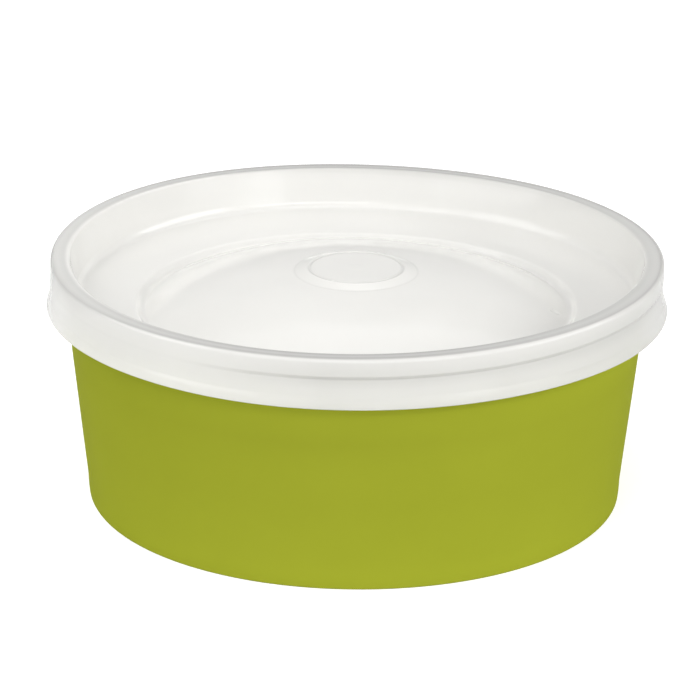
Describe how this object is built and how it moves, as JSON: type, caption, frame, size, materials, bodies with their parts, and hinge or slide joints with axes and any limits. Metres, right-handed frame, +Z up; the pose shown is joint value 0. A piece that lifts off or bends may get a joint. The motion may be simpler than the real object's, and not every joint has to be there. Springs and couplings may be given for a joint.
{
  "type": "takeaway salad bowl with lid",
  "caption": "Round tapered paper takeaway bowl with a rolled rim and a recessed base, closed by a translucent plastic lid that presses over the rim and has a domed centre panel.",
  "frame": {"origin": "centre of the circle that the bowl stands on, in the plane of the table", "axes": "+Z up along the bowl's axis towards the lid, +Y towards the sleeve's glued lap at the back, -Y is the side that faces the camera in the picture"},
  "size_m": [0.1546, 0.1546, 0.0613],
  "materials": {
    "green_paper": "printed olive green, satin coated",
    "white_paper": "white, thin water-tight coating",
    "translucent_lid": "frosted translucent, smooth and slightly glossy"
  },
  "bodies": {
    "root": {"bowl_sleeve": "green_paper", "bowl_base": "white_paper", "lid": "translucent_lid"}
  },
  "joints": []
}
